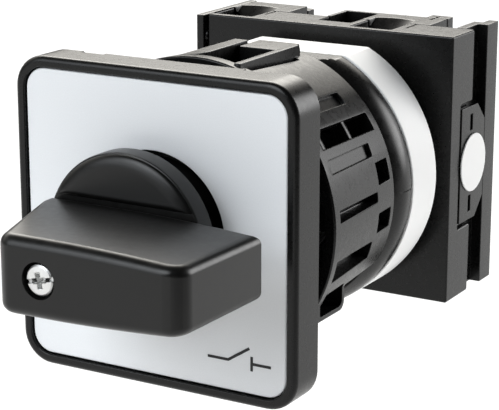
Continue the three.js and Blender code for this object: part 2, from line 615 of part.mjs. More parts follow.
function rearCover() {
  const y0 = BLOCK.back + JOINT_GAP;
  const x = [BLOCK.left, BLOCK.right - CHANNEL.depth - JOINT_GAP];
  const plate = join(
    block(x, [y0, BLOCK.end], [-COVER.halfHeight, COVER.halfHeight]),
    block(COVER.tab, [y0, BLOCK.end], [-BLOCK.halfHeight, BLOCK.halfHeight]),
  );
  const heads = TIE_BOLTS.map(([, bx, bz]) => barY(TIE_BOLT.headHoleR, BLOCK.end - TIE_BOLT.headDepth,
    BLOCK.end + 1, { x: bx, z: bz }));
  const shanks = TIE_BOLTS.map(([, bx, bz]) => barY(TIE_BOLT.holeR, y0 - 1, BLOCK.end + 1,
    { x: bx, z: bz }));
  return cut(plate, ...heads, ...shanks, ...rearNotches(y0 - 1, BLOCK.end + 1));
}

function tieBolt(x, z) {
  const headFront = BLOCK.end - TIE_BOLT.headDepth + 0.1;
  const head = barY(TIE_BOLT.headR, headFront, BLOCK.end - 0.1, { x, z, sides: 24 });
  const shank = barY(TIE_BOLT.shankR, TIE_BOLT.tip, headFront + 0.5, { x, z, sides: 16 });
  const slot = block([x - 3, x + 3], [BLOCK.end - 0.7, BLOCK.end + 1], [z - 0.35, z + 0.35]);
  return cut(join(head, shank), slot);
}

// ---- side fittings ------------------------------------------------------------------------------
function sideClip() {
  const { inner, outer, front, back, halfHeight, chamfer } = CLIP;
  const outline = polygon([[front, -halfHeight], [back - chamfer, -halfHeight], [back, chamfer - halfHeight],
    [back, halfHeight - chamfer], [back - chamfer, halfHeight], [front, halfHeight]]);
  const geometry = new THREE.ExtrudeGeometry(outline, { depth: outer - inner, bevelEnabled: false });
  geometry.rotateX(Math.PI / 2).rotateZ(Math.PI / 2).translate(inner, 0, 0);
  const { z, halfLength } = CLIP_SLOT;
  const slots = [-1, 1].map((side) => block([inner - 1, outer + 1], [CLIP_SLOT.front, CLIP_SLOT.back],
    [side * z - halfLength, side * z + halfLength]));
  return cut(solid(geometry), ...slots);
}

function sidePlate() {
  const { outer, inner, front, back, halfHeight, pegR, pegZ } = SIDE_PLATE;
  const sheet = block([outer, inner], [front, back], [-halfHeight, halfHeight]);
  const pegs = [-1, 1].map((side) => barX(pegR, inner - 0.5, BLOCK.left - 0.2, front + 1.5,
    side * pegZ, 16));
  return join(sheet, ...pegs);
}

// ---- assembly -----------------------------------------------------------------------------------
add('front_frame', frontFrame(), blackPlastic);
add('face_plate', facePlate(), silverFoil);
add('mounting_sleeve', mountingSleeve(), blackPlastic);
add('panel_gasket', panelGasket(), rubber);
add('panel_nut', panelNut(), greyPlastic);
add('shaft_bearing', shaftBearing(), greyPlastic);
add('handle_knob', handleKnob(), blackPlastic);
add('handle_screw', handleScrew(), steel);
add('drive_shaft', driveShaft(), steel);
add('mounting_cup', mountingCup(), blackPlastic);
add('adapter_latch', adapterLatch(), blackPlastic);
add('adapter_screw_left', adapterScrew(-ADAPTER_SCREW.x), steel);
add('adapter_screw_right', adapterScrew(ADAPTER_SCREW.x), steel);
add('flange_ring', flangeRing(), blackPlastic);
add('index_drum', indexDrum(), whitePlastic);
add('index_cover', indexCover(), blackPlastic);
add('index_star', starWheel(), greyPlastic);
add('index_slider_right', indexSlider(), whitePlastic);
add('index_slider_left', mirrorX(indexSlider()), whitePlastic);
const indexSpringY = (STAR.front + STAR.back) / 2;
const indexSpring = coilSpring(INDEX_SPRING, SLIDER.back + 0.4, DRUM.cavityR - 0.5, indexSpringY);
add('index_spring_right', indexSpring, springSteel);
add('index_spring_left', mirrorX(indexSpring), springSteel);
add('front_housing', frontHousing(), blackPlastic);
add('rear_housing', rearHousing(), blackPlastic);
add('separator_plate', separatorPlate(), greyPlastic);
add('rear_cover', rearCover(), blackPlastic);
add('cam_front', cam(UNIT_FRONT_CAM_Y), whitePlastic);
add('cam_rear', cam(UNIT_REAR_CAM_Y), whitePlastic);

const POLES = [
  {
    name: 'front_right', side: 1, camY: UNIT_FRONT_CAM_Y, plateX: [4.6, 10.3],
    screwX: FUNNEL.rightX, screwY: FRONT_SCREW_Y,
  },
  {
    name: 'front_left', side: -1, camY: UNIT_FRONT_CAM_Y, plateX: [-21.3, -FIXED.inner],
    screwX: FUNNEL.leftX, screwY: FRONT_SCREW_Y,
  },
  {
    name: 'rear_right', side: 1, camY: UNIT_REAR_CAM_Y, plateX: [-3.3, FIXED.outer],
    screwX: REAR_SCREW.x, screwY: REAR_SCREW.y,
  },
];
for (const pole of POLES) {
  const onSide = (piece) => (pole.side > 0 ? piece : mirrorX(piece));
  add(`plunger_${pole.name}`, onSide(plunger(pole.camY)), whitePlastic);
  add(`contact_bridge_${pole.name}`, onSide(contactBridge(pole.camY)), brass);
  add(`contact_spring_${pole.name}`, onSide(contactSpring(pole.camY)), springSteel);
  const ends = [['top', (piece) => piece], ['bottom', mirrorZ]];
  for (const [end, place] of ends) {
    const contact = fixedContact(pole.side, pole.camY, pole.plateX, pole.screwX, pole.screwY);
    add(`fixed_contact_${pole.name}_${end}`, place(contact), brass);
    add(`clamp_washer_${pole.name}_${end}`, place(clampWasher(pole.screwX, pole.screwY)), steel);
    add(`terminal_screw_${pole.name}_${end}`, place(terminalScrew(pole.screwX, pole.screwY)), steel);
  }
}
for (const [name, x, z] of TIE_BOLTS) {
  add(`tie_bolt_${name}`, tieBolt(x, z), steel);
}
add('side_clip', sideClip(), blackPlastic);
add('side_marker', barX(MARKER.r, MARKER.from, MARKER.to, MARKER.y, 0, 36), whitePlastic);
add('side_plate', sidePlate(), blackPlastic);

export default isolator;
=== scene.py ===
import json
import math

import bmesh
import bpy
from mathutils import Matrix, Vector


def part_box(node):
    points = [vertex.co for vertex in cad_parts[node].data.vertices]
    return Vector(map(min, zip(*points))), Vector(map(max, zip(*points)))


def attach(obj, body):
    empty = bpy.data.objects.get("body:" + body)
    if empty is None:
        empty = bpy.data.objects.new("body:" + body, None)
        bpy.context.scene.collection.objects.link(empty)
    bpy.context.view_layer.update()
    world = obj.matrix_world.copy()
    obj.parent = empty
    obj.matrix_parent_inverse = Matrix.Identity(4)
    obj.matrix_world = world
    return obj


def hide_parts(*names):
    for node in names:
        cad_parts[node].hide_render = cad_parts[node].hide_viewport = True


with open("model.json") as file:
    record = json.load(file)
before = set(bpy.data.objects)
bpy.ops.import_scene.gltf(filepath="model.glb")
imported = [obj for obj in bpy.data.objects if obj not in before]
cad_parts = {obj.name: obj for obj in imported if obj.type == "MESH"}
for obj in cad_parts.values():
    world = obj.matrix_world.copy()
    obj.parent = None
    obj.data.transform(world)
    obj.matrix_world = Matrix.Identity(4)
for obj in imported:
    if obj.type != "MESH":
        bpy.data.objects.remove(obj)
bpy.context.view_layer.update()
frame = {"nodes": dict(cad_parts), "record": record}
NODES = frame["nodes"]
MM = 0.001
STEPS = 160  # sides of the large round pieces
FLOOR_GLOW = 0.42  # light of the floor's own, which keeps it white
NOISE_LOW, NOISE_HIGH = 0.3, 0.7  # nearly all of a noise texture lies between these
BUMP_HEIGHT = 0.02 * MM


def extent(node, axis):
    """A CAD node's lowest and highest coordinate along an axis, in millimetres."""
    return [round(corner["XYZ".index(axis)] / MM, 2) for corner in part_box(node)]


# ---- outlines ------------------------------------------------------------------------------------
def polar(r, degrees):
    a = math.radians(degrees)
    return (r * math.cos(a), r * math.sin(a))


def rounded(points, radii, steps):
    """A closed 2-D outline whose corners are rounded, each by its own radius."""
    n = len(points)
    out = []
    for i in range(n):
        p, c, q = (Vector(points[j % n]) for j in (i - 1, i, i + 1))
        r = radii[i]
        u, w = (p - c).normalized(), (q - c).normalized()
        half = math.acos(max(-1, min(1, u.dot(w)))) / 2
        if r <= 0 or half > math.radians(89):
            out.append(tuple(c))
            continue
        reach = min(r / math.tan(half), 0.49 * (p - c).length, 0.49 * (q - c).length)
        r = reach * math.tan(half)
        centre = c + (u + w).normalized() * (r / math.sin(half))
        a, b = c + u * reach - centre, c + w * reach - centre
        for k in range(steps + 1):
            d = a.slerp(b, k / steps) if a.length > 1e-9 else a
            out.append(tuple(centre + d.normalized() * r))
    return out


def inset(points, d):
    """A convex counter-clockwise outline moved inwards by d."""
    n = len(points)
    lines = []
    for i in range(n):
        a, b = Vector(points[i]), Vector(points[(i + 1) % n])
        t = (b - a).normalized()
        lines.append((a + Vector((-t.y, t.x)) * d, t))
    out = []
    for i in range(n):
        (p, t), (q, s) = lines[i - 1], lines[i]
        k = (q - p).cross(s) / t.cross(s)
        out.append(tuple(p + t * k))
    return out


def square(half, corner):
    """A rounded square, with points along its straight sides too."""
    steps, along = 10, 24
    s = half - corner
    out = []
    for cx, cz, start in ((s, -s, -90), (s, s, 0), (-s, s, 90), (-s, -s, 180)):
        for k in range(steps + 1):
            x, z = polar(corner, start + 90 * k / steps)
            out.append((cx + x, cz + z))
        ahead = polar(1, start + 180)
        out += [(out[-1][0] + ahead[0] * 2 * s * k / along, out[-1][1] + ahead[1] * 2 * s * k / along)
                for k in range(1, along)]
    return out


def circle_like(outline, r):
    """Points on a circle of radius r in the same directions as an outline's points."""
    out = []
    for x, z in outline:
        k = r / math.hypot(x, z)
        out.append((x * k, z * k))
    return out


def fillet(r, steps):
    """(inset, depth) points of a quarter-round edge, from (0, r) to (r, 0)."""
    turns = [math.radians(90 * k / steps) for k in range(steps + 1)]
    return [(r * (1 - math.cos(a)), r * (1 - math.sin(a))) for a in turns]


# ---- meshes --------------------------------------------------------------------------------------
def show(ob):
    bpy.context.scene.collection.objects.link(ob)
    return ob


def piece(name, verts, faces):
    mesh = bpy.data.meshes.new(name)
    mesh.from_pydata([tuple(c * MM for c in v) for v in verts], [], faces)
    mesh.validate()
    ob = show(bpy.data.objects.new(name, mesh))
    outward(ob)
    return ob


def outward(ob):
    bm = bmesh.new()
    bm.from_mesh(ob.data)
    bmesh.ops.remove_doubles(bm, verts=bm.verts, dist=1e-7)
    bmesh.ops.recalc_face_normals(bm, faces=bm.faces)
    if bm.calc_volume(signed=True) < 0:
        bmesh.ops.reverse_faces(bm, faces=bm.faces)
    bm.to_mesh(ob.data)
    bm.free()


def loft(name, loops, ring=True):
    """Skin over loops of equally many points. ring joins the last loop to the first; otherwise the
    ends are capped."""
    n = len(loops[0])
    verts = [p for loop in loops for p in loop]
    faces = []
    for i in range(len(loops) if ring else len(loops) - 1):
        a, b = i * n, ((i + 1) % len(loops)) * n
        for k in range(n):
            m = (k + 1) % n
            faces.append((a + k, a + m, b + m, b + k))
    if not ring:
        faces.append(tuple(range(n - 1, -1, -1)))
        faces.append(tuple(range((len(loops) - 1) * n, len(loops) * n)))
    return piece(name, verts, faces)


def at_y(outline, y):
    return [(x, y, z) for x, z in outline]


def lathe(name, outline, steps=STEPS, radius=None):
    """A ring about the switching axis from a closed outline of (radius, y); radius(r, y, degrees)
    may change the radius round the axis."""
    def turn(degrees):
        loop = []
        for r, y in outline:
            x, z = polar(radius(r, y, degrees) if radius else r, degrees)
            loop.append((x, y, z))
        return loop

    return loft(name, [turn(360 * i / steps) for i in range(steps)])


def disc(name, outline, steps=STEPS):
    """A solid of revolution about the switching axis; the outline runs from axis to axis."""
    verts, faces = [], []
    inner = outline[1:-1]
    for i in range(steps):
        for r, y in inner:
            x, z = polar(r, 360 * i / steps)
            verts.append((x, y, z))
    verts += [(0, outline[0][1], 0), (0, outline[-1][1], 0)]
    n = len(inner)
    for i in range(steps):
        a, b = i * n, ((i + 1) % steps) * n
        faces += [(a + k, b + k, b + k + 1, a + k + 1) for k in range(n - 1)]
        faces += [(len(verts) - 2, b, a), (len(verts) - 1, a + n - 1, b + n - 1)]
    return piece(name, verts, faces)


def box(x, y, z, name="tool"):
    loop = [(x[0], z[0]), (x[1], z[0]), (x[1], z[1]), (x[0], z[1])]
    return loft(name, [at_y(loop, y[0]), at_y(loop, y[1])], ring=False)


def prism(outline, y0, y1):
    return loft("tool", [at_y(outline, y0), at_y(outline, y1)], ring=False)


def prism_x(outline, x0, x1, name="tool"):
    """An outline of (y, z) points, extruded along X."""
    return loft(name, [[(x, y, z) for y, z in outline] for x in (x0, x1)], ring=False)


def bar(r, low, high, centre=(0, 0), along="Y", steps=48, name="tool"):
    """A round bar along an axis; centre is in the other two coordinates, in X, Y, Z order."""
    ring = [polar(r, 360 * k / steps) for k in range(steps)]
    loops = []
    for t in (low, high):
        loop = [[centre[0] + u, centre[1] + v] for u, v in ring]
        for point in loop:
            point.insert("XYZ".index(along), t)
        loops.append(loop)
    return loft(name, loops, ring=False)


def sector(r0, r1, a0, a1, y0, y1, steps=12):
    arc = [polar(r1, a0 + (a1 - a0) * k / steps) for k in range(steps + 1)]
    back = [polar(r0, a1 + (a0 - a1) * k / steps) for k in range(steps + 1)]
    return prism(arc + back, y0, y1)


def mirrored(ob, axis):
    twin = ob.copy()
    twin.data = ob.data.copy()
    show(twin)
    normal = {"X": Vector((1, 0, 0)), "Z": Vector((0, 0, 1))}[axis]
    twin.data.transform(Matrix.Scale(-1, 4, normal))
    outward(twin)
    return twin


def both(ob):
    """A piece and its twin below the switching axis."""
    return [ob, mirrored(ob, "Z")]


def apply(ob):
    """The object's mesh with its modifiers applied."""
    made = bpy.data.meshes.new_from_object(ob.evaluated_get(bpy.context.evaluated_depsgraph_get()))
    ob.modifiers.clear()
    ob.data = made
    return ob


def boolean(ob, tools, operation):
    for tool in tools:
        m = ob.modifiers.new("b", "BOOLEAN")
        m.operation, m.object, m.solver = operation, tool, "MANIFOLD"
    apply(ob)
    for tool in tools:
        bpy.data.objects.remove(tool)
    return ob


def cut(ob, *tools):
    return boolean(ob, tools, "DIFFERENCE")


def join(ob, *tools):
    return boolean(ob, tools, "UNION")


def soften(ob, width, steps=2, angle=32):
    """Rounds the edges sharper than an angle, after joining faces that lie in one plane."""
    m = ob.modifiers.new("weld", "WELD")
    m.merge_threshold = 0.03 * MM
    m = ob.modifiers.new("flat", "DECIMATE")
    m.decimate_type, m.angle_limit = "DISSOLVE", math.radians(0.6)
    m = ob.modifiers.new("edges", "BEVEL")
    m.width, m.segments, m.limit_method = width * MM, steps, "ANGLE"
    m.angle_limit, m.miter_outer = math.radians(angle), "MITER_ARC"
    m.use_clamp_overlap = False
    return apply(ob)


def shade(ob, sharp):
    ob.data.shade_smooth()
    ob.data.set_sharp_from_angle(angle=math.radians(sharp))
    m = ob.modifiers.new("normals", "WEIGHTED_NORMAL")
    m.keep_sharp, m.weight = True, 80
    return ob


def place(ob, body, material, slot, *nodes, sharp=28):
    """Shades a finished piece, gives it its material, ties it to its body and hides the CAD nodes it stands
    for.
    """
    shade(ob, sharp)
    ob.data.materials.clear()
    ob.data.materials.append(material)
    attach(ob, body)
    if nodes:
        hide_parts(*nodes)
    return ob


# ---- materials -----------------------------------------------------------------------------------
class Look:
    """A small helper to wire shader nodes."""

    def __init__(self, name):
        self.material = bpy.data.materials.new(name)
        self.material.use_nodes = True
        self.nodes, self.links = self.material.node_tree.nodes, self.material.node_tree.links
        self.shader = self.nodes["Principled BSDF"]
        self.where = self.nodes.new("ShaderNodeTexCoord").outputs["Object"]

    def noise(self, scale, detail, stretch=None):
        n = self.nodes.new("ShaderNodeTexNoise")
        n.inputs["Scale"].default_value = scale
        n.inputs["Detail"].default_value = detail
        source = self.where
        if stretch:
            m = self.nodes.new("ShaderNodeMapping")
            m.inputs["Scale"].default_value = stretch
            self.links.new(source, m.inputs["Vector"])
            source = m.outputs["Vector"]
        self.links.new(source, n.inputs["Vector"])
        return n.outputs["Fac"]

    def span(self, value, low, high):
        """Stretches a noise over a range of values."""
        n = self.nodes.new("ShaderNodeMapRange")
        n.inputs["From Min"].default_value, n.inputs["From Max"].default_value = NOISE_LOW, NOISE_HIGH
        n.inputs["To Min"].default_value, n.inputs["To Max"].default_value = low, high
        self.links.new(value, n.inputs["Value"])
        return n.outputs["Result"]

    def ramp(self, value, *stops):
        n = self.nodes.new("ShaderNodeValToRGB")
        ends = n.color_ramp.elements
        while len(ends) < len(stops):
            ends.new(0.5)
        for e, (at, colour) in zip(ends, stops):
            e.position, e.color = at, (*colour, 1)
        self.links.new(value, n.inputs["Fac"])
        return n.outputs["Color"]

    def bump(self, *layers):
        """Bumps stacked on each other, each (height, strength)."""
        last = None
        for height, strength in layers:
            n = self.nodes.new("ShaderNodeBump")
            n.inputs["Strength"].default_value = strength
            n.inputs["Distance"].default_value = BUMP_HEIGHT
            self.links.new(height, n.inputs["Height"])
            if last:
                self.links.new(last, n.inputs["Normal"])
            last = n.outputs["Normal"]
        self.links.new(last, self.shader.inputs["Normal"])

    def set(self, **values):
        for key, v in values.items():
            socket = self.shader.inputs[key.replace("_", " ")]
            if hasattr(v, "node"):
                self.links.new(v, socket)
            else:
                socket.default_value = v
        return self.material


def worn(look, colour, spread):
    """Two close tones of a colour, mixed by slow and fine noise."""
    low = tuple(c * (1 - spread) for c in colour)
    high = tuple(min(1, c * (1 + spread)) for c in colour)
    return look.ramp(look.noise(70, 5), (NOISE_LOW, low), (NOISE_HIGH, high))


def plastic(name, colour, rough, specular, grain=0.015, spread=0.18):
    look = Look(name)
    look.bump((look.noise(5000, 1), grain * 0.25), (look.noise(260, 2), grain))
    look.set(Specular_IOR_Level=specular)
    return look.set(
        Base_Color=worn(look, colour, spread),
        Roughness=look.span(look.noise(900, 2), rough - 0.03, rough + 0.03),
    )


def metal(name, colour, rough, stretch=(1, 1, 1)):
    spread, grain = 0.08, 0.1
    look = Look(name)
    brushed = look.noise(1500, 3, stretch)
    look.bump((brushed, grain))
    look.set(Metallic=1.0)
    return look.set(
        Base_Color=worn(look, colour, spread), Roughness=look.span(brushed, rough - 0.07, rough + 0.08)
    )


def foil(name):
    """Satin silver printed sheet: pale, with a very fine even grain."""
    look = Look(name)
    look.bump((look.noise(12000, 2), 0.06))
    look.set(Metallic=0.0, Specular_IOR_Level=0.5, Coat_Weight=0.25, Coat_Roughness=0.3)
    fine = look.noise(5000, 3)
    return look.set(
        Base_Color=look.ramp(fine, (0.25, (0.74, 0.755, 0.77)), (0.75, (0.78, 0.795, 0.81))),
        Roughness=look.span(fine, 0.36, 0.46),
    )


BLACK = plastic("moulded_black", (0.0042, 0.0042, 0.0041), 0.28, 0.25)
KNOB = plastic("satin_black_grip", (0.0055, 0.0054, 0.0051), 0.31, 0.32)
GREY = plastic("grey_nylon", (0.11, 0.11, 0.105), 0.5, 0.35)
WHITE = plastic("white_nylon", (0.94, 0.942, 0.937), 0.45, 0.4, grain=0.05, spread=0.02)
PRINT = plastic("black_print", (0.01, 0.01, 0.011), 0.45, 0.3, grain=0.05)
RUBBER = plastic("gasket_rubber", (0.016, 0.016, 0.016), 0.75, 0.25, grain=0.2)
FOIL = foil("silver_foil")
ZINC = metal("zinc_plate", (0.72, 0.72, 0.71), 0.4)
WIRE = metal("spring_wire", (0.5, 0.5, 0.52), 0.32, (1, 6, 6))
BRASS = metal("contact_brass", (0.78, 0.58, 0.28), 0.33, (8, 1, 1))
LOOKS = {
    "black_plastic": BLACK, "silver_plate": FOIL, "gasket_rubber": RUBBER, "grey_plastic": GREY,
    "white_plastic": WHITE, "zinc_steel": ZINC, "spring_steel": WIRE, "contact_brass": BRASS,
}
for entry in frame["record"]["subparts"]:
    node = NODES[entry["node"]]
    node.data.materials.clear()
    node.data.materials.append(LOOKS[entry["material_slot"]])


# ---- front frame and plate -----------------------------------------------------------------------
HALF = extent("front_frame", "X")[1]
DEPTH = -extent("front_frame", "Y")[0]
CORNER = 5.0


def ring_of_squares(name, steps):
    """A square ring from (half width, corner radius, y) stations, or ("round", radius, y) ones."""
    base = square(HALF, CORNER)
    loops = []
    for first, second, y in steps:
        if first == "round":
            loops.append(at_y(circle_like(base, second), y))
        else:
            loops.append(at_y(square(first, second), y))
    return loft(name, loops)


def front_frame():
    edge, lip, chamfer, wall, seat, web = 0.85, 0.2, 0.25, 1.6, -5.1, -2.3
    inner, inner_corner, hole, back_half, back_corner = HALF - wall, 3.5, 12.4, 21.8, 3
    stations = [(HALF - chamfer, CORNER - chamfer, 0), (HALF, CORNER, -chamfer)]
    stations += [(HALF - d, CORNER - d, -DEPTH + y) for d, y in fillet(edge, 6)]
    stations += [(inner + d, inner_corner + d, -DEPTH + y) for d, y in reversed(fillet(lip, 3))]
    stations += [(inner, inner_corner, seat), ("round", hole, seat), ("round", hole, web),
                 (back_half, back_corner, web), (back_half, back_corner, 0)]
    ob = ring_of_squares("frame_body", stations)
    notch = box((12, 16), (-1, 1), (20, 30))
    return cut(ob, notch, mirrored(notch, "X"))


place(front_frame(), "switch_body", BLACK, "black_plastic", "front_frame", sharp=40)


def face_plate():
    half = extent("face_plate", "X")[1]
    front, back = extent("face_plate", "Y")
    corner, hole, edge, bevel = 3.25, 12.0, 0.32, 0.15
    stations = [(half, corner, back)]
    stations += [(half - d, corner - d, front + y) for d, y in fillet(edge, 3)]
    stations += [("round", hole + bevel, front), ("round", hole, front + bevel), ("round", hole, back)]
    return ring_of_squares("plate_sheet", stations)


place(face_plate(), "switch_body", FOIL, "silver_plate", "face_plate", sharp=50)


def stroke(a, b, width, y0, y1):
    a, b = Vector(a), Vector(b)
    t = (b - a).normalized() * (width / 2)
    s = Vector((-t.y, t.x))
    return prism([tuple(a - s), tuple(b - s), tuple(b + s), tuple(a + s)], y0, y1)


def switch_symbol():
    """The general circuit symbol of an isolating switch, printed in black."""
    y = (-6.445, -6.39)
    level, w = -17.6, 0.42
    parts = [
        stroke((9.2, level), (12.7, level), w, *y),
        stroke((12.6, level - 0.05), (16.2, level + 2.3), w, *y),
        stroke((16.6, level - 1.1), (16.6, level + 1.1), w, *y),
        stroke((16.5, level), (19.8, level), w, *y),
    ]
    first = parts.pop(0)
    first.name = "plate_symbol"
    return join(first, *parts)


place(switch_symbol(), "switch_body", PRINT, "black_plastic")


# ---- handle --------------------------------------------------------------------------------------
GRIP_LEFT, GRIP_RIGHT = -12.4, 22.9


def grip_height(x):
    """The grip's height at x as a share of its full height: it falls towards the right end."""
    start, fall, power = 1, 0.17, 1.7
    t = max(0, min(1, (x - start) / (GRIP_RIGHT - start)))
    return 1 - fall * t ** power


def grip():
    root = -14.4
    plan = [(GRIP_LEFT, root), (GRIP_LEFT, -17.1), (-6.6, -34.7), (22.2, -34.1), (GRIP_RIGHT, root)]
    radii = [0.3, 2.0, 2.6, 3.0, 0.3]
    half, edge, slices = 5.65, 1.6, 30
    loops = []
    levels = [(d, half - y) for d, y in fillet(edge, 9)]
    ladder = [(d, -z) for d, z in reversed(levels)] + levels
    for d, z in ladder:
        outline = rounded(inset(plan, d) if d else plan, [max(0.08, r - d) for r in radii], 8)
        loops.append([(x, y, z) for x, y in outline])
    ob = loft("grip_bar", loops, ring=False)
    bm = bmesh.new()
    bm.from_mesh(ob.data)
    for k in range(1, slices):
        x = (GRIP_LEFT + (GRIP_RIGHT - GRIP_LEFT) * k / slices) * MM
        bmesh.ops.bisect_plane(bm, geom=bm.verts[:] + bm.edges[:] + bm.faces[:], dist=1e-7,
                               plane_co=(x, 0, 0), plane_no=(1, 0, 0))
    for v in bm.verts:
        v.co.z *= grip_height(v.co.x / MM)
    bm.to_mesh(ob.data)
    bm.free()
    return ob


def half_moon(sign):
    """One raised half-moon of the knob's disc, with rounded rim and chord."""
    r, rim, step, depth, front, base, chord = 13.0, 2.1, 1.0, 0.9, -14.9, -14.0, 5.95
    loops = []
    for k in range(9):
        a = math.radians(90 * k / 8)
        y = front + depth * (1 - math.sin(a))
        rr, cc = r - rim * (1 - math.cos(a)), chord + step * (1 - math.cos(a))
        start = math.degrees(math.asin(cc / rr))
        arc = [polar(rr, start + (180 - 2 * start) * i / 48) for i in range(49)]
        width = rr * math.cos(math.radians(start))
        line = [(-width + 2 * width * i / 16, cc) for i in range(1, 16)]
        loops.append([(x, y, sign * z) for x, z in arc + line])
    first = [(x, base + 0.3, z) for x, _, z in loops[0]]
    return loft("moon", [first] + loops, ring=False)


def knob():
    base = disc("knob_base", [(0, -14.05), (12.9, -14.05), (13.15, -13.95), (13.25, -13.7),
                              (13.25, -10.9), (13.1, -10.65), (12.9, -10.6), (10.3, -10.6),
                              (10.3, -1.9), (0, -1.9)])
    ob = join(grip(), base, half_moon(1), half_moon(-1))
    ob.name = "turn_knob"
    ring = disc("well", [(0, -35.5), (2.75, -35.5), (2.62, -34.55), (2.6, -32), (0, -32)], 64)
    bore = bar(1.7, -33, -21.5, steps=32)
    hub = lathe("hub", [(5.4, -9.9), (8.4, -9.9), (8.4, -1), (5.4, -1)], 64)
    socket = box((-3.15, 3.15), (-21.9, 0), (-3.15, 3.15))
    return cut(ob, ring, bore, hub, socket)


place(knob(), "rotor", KNOB, "black_plastic", "handle_knob", sharp=38)


def screw():
    ob = disc("knob_screw", [(0, -34.42), (1.2, -34.4), (1.95, -34.3), (2.17, -34.12), (2.25, -33.9),
                             (2.25, -32.3), (1.45, -32.3), (1.45, -16), (0, -16)], 64)
    tools = [box((-3, 3), (-35, -33.75), (-0.28, 0.28))]
    for turn in (0, 90):
        arms = [(-0.42, -1.28), (0.42, -1.28), (0.42, 1.28), (-0.42, 1.28)]
        tip = [(x * 0.5, z * 0.35) for x, z in arms]
        spin = Matrix.Rotation(math.radians(turn), 2)
        loops = [at_y([tuple(spin @ Vector(p)) for p in arms], -34.6),
                 at_y([tuple(spin @ Vector(p)) for p in tip], -32.9)]
        tools.append(loft("arm", loops, ring=False))
    ob = cut(ob, *tools)
    ob.data.transform(Matrix.Rotation(math.radians(-12), 4, "Y"))
    return soften(ob, 0.05, 1, 40)


place(screw(), "rotor", ZINC, "zinc_steel", "handle_screw")


# ---- sleeve --------------------------------------------------------------------------------------
def sleeve():
    """The threaded sleeve: a collar in the frame's hole and a 22 mm thread of 1.5 mm pitch."""
    pitch, crest, root, start, end, lead_in, run_out, turns = 1.5, 11.0, 10.45, 0.4, 12.7, 0.5, 0.6, 66

    def radius(r, y, degrees):
        if r < crest or y < start:
            return r
        phase = ((y / pitch) - degrees / 360) % 1
        fade = max(0, min(1, (end - y) / run_out)) * max(0, min(1, (y - start) / lead_in))
        return root + (crest - root) * (1 - fade * (1 - abs(2 * phase - 1)))

    thread = [(crest, start + (end - start) * k / turns) for k in range(turns + 1)]
    outline = [(10.7, -4.1), (10.8, -4.2), (11.8, -4.2), (11.95, -4.05), (11.95, -2.1), (15.5, -2.1),
               (15.5, -0.6), (10.9, -0.6)] + thread + [(10.7, 13), (9.4, 13), (9.4, -1), (10.7, -1)]
    return lathe("sleeve_body", outline, 120, radius)


place(sleeve(), "switch_body", BLACK, "black_plastic", "mounting_sleeve")


# ---- mounting cup --------------------------------------------------------------------------------
SLOTS = [(8.6, 17.3, 22.1, 26.5), (-10.6, -2.6, 21.8, 26.5), (69.3, 76.2, 7.6, 23.1)]
GROOVES = [(43, 48.5, 7.2, 22), (20.2, 25.5, 7.2, 22)]
SCOOPS = [(2.2, 7.6, 7.2, 21.3), (-20.5, -11, 7.2, 20.6)]
CUP_FRONT, CUP_BACK, FRONT_R, BACK_R, CUP_WALL = 5.2, 28, 23.9, 22.4, 1.7
CUT_IN, CUT_OUT = 19.5, 25.5  # radii of the tools that cut through the cup's wall
SCREW_X = 17


def scoop(low, high, y0, y1):
    """A hollow that is deep along its lower edge and runs out in a curve along its upper edge."""
    floor, steps = 21.0, 14
    ramp = []
    for k in range(steps + 1):
        t = k / steps
        ramp.append(polar(floor + (24.2 - floor) * t * t, low + 0.4 + (high - low - 0.4) * t))
    outline = ramp + [polar(26, high + 0.3), polar(26, low)]
    return prism(outline, y0, y1)


def groove(a0, a1, y0, y1):
    depth = 0.7
    skin = lathe("skin", [(FRONT_R - depth, CUP_FRONT), (FRONT_R + 1, CUP_FRONT), (BACK_R + 1, CUP_BACK),
                          (BACK_R - depth, CUP_BACK)])
    return boolean(sector(CUT_IN, CUT_OUT, a0, a1, y0, y1), [skin], "INTERSECT")


def foot():
    """The square foot at the cup's lower corner, with its lower back corner rounded."""
    x0, x1, y0, y1, z0, z1 = 17, 20.5, 5.9, 15, -14.6, -10.6
    side = rounded([(y0, z0), (y1, z0), (y1, z1), (y0, z1)], [0.3, 1.5, 0, 0], 8)
    return prism_x(side, x0, x1)


def foot_pocket():
    side = rounded([(7.2, -13.9), (14.2, -13.9), (14.2, -10.3), (7.2, -10.3)], [0.4, 1.0, 0.5, 0.3], 6)
    return prism_x(side, 15.6, 25)


